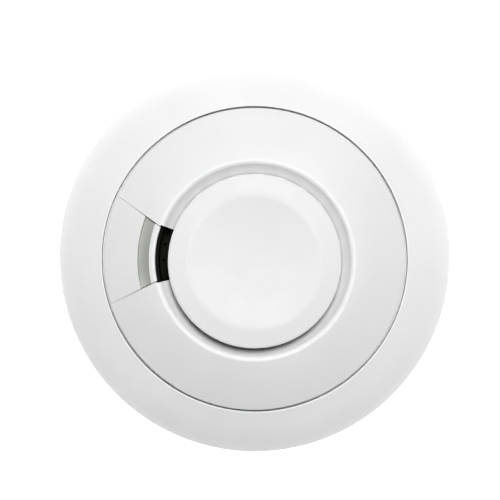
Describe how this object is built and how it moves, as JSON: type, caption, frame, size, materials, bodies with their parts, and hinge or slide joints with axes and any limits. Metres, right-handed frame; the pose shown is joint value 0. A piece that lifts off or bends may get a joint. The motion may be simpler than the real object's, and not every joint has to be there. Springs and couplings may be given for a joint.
{
  "type": "smoke alarm",
  "caption": "Round white mains optical smoke alarm: screw-on mounting base, slide-on domed head, smoke inlet round a dished cap, wedge test button with light window.",
  "frame": {"origin": "centre of the mounting base's flat back face, which meets the ceiling", "axes": "+Z out of the alarm's front, away from the ceiling; the test button is on the -X side, and the head slides off the base towards +X"},
  "size_m": [0.141, 0.141, 0.0489],
  "materials": {
    "head_white": "fine satin moulded ABS, front cover, cap and test button",
    "housing_white": "fine satin moulded ABS, outer housing",
    "base_white": "moulded ABS, plain inside face",
    "window_grey": "translucent grey light guide, slightly glossy",
    "black_plastic": "matt black moulding that lets no light through",
    "screen_dark": "fine dark insect screen",
    "terminal_white": "heat-resistant terminal moulding",
    "latch_white": "springy acetal",
    "brass": "plain brass",
    "steel": "zinc-plated steel",
    "board_green": "green solder mask over glass-epoxy board",
    "chip_black": "moulded epoxy package",
    "film_yellow": "yellow film-capacitor case",
    "can_black": "dark sleeve on an aluminium can",
    "varistor_blue": "blue epoxy coating",
    "resistor_tan": "lacquered resistor body",
    "cell_steel": "stainless cell can",
    "lens_clear": "water-clear epoxy with a faint blue tint",
    "lens_dark": "daylight-blocking dark epoxy",
    "lamp_red": "diffused red epoxy",
    "lamp_green": "diffused green epoxy",
    "lamp_yellow": "diffused yellow epoxy"
  },
  "bodies": {
    "base": {"mounting_base": "base_white", "terminal_block": "terminal_white", "terminal_contacts": "brass", "terminal_screws": "steel", "terminal_cover": "base_white", "latch_finger": "latch_white"},
    "head": {"outer_housing": "housing_white", "rear_chassis": "base_white", "shell_screws": "steel", "front_cover": "head_white", "centre_cap": "head_white", "insect_screen": "screen_dark", "chamber_cover": "black_plastic", "chamber_base": "black_plastic", "infrared_led": "lens_clear", "photodiode": "lens_dark", "circuit_board": "board_green", "board_screws": "steel", "microcontroller": "chip_black", "rectifier_diodes": "chip_black", "mains_capacitor": "film_yellow", "smoothing_capacitors": "can_black", "varistor": "varistor_blue", "power_resistors": "resistor_tan", "backup_cell": "cell_steel", "cell_clips": "steel", "plug_housing": "terminal_white", "contact_pins": "brass", "sounder_horn": "black_plastic", "piezo_disc": "brass", "red_led": "lamp_red", "green_led": "lamp_green", "yellow_led": "lamp_yellow", "switch_body": "chip_black"},
    "button": {"test_button": "head_white", "light_pipe": "window_grey"},
    "plunger": {"switch_plunger": "chip_black"}
  },
  "joints": [
    {"name": "head_slide", "type": "slide", "parent": "base", "child": "head", "axis": [1, 0, 0], "range_m": [0, 0.016], "deforming": ["latch_finger"]},
    {"name": "button_press", "type": "hinge", "parent": "head", "child": "button", "pos_m": [-0.048, 0, 0.0268], "axis": [0, 1, 0], "range_deg": [0, 2], "stiffness_Nm_per_rad": 0.4, "springref_deg": -0.57},
    {"name": "plunger_press", "type": "slide", "parent": "head", "child": "plunger", "axis": [0, 0, -1], "range_m": [0, 0.00015]}
  ],
  "couplings": [
    {"joint": "plunger_press", "follows": "button_press", "m_per_rad": 0.0043}
  ]
}
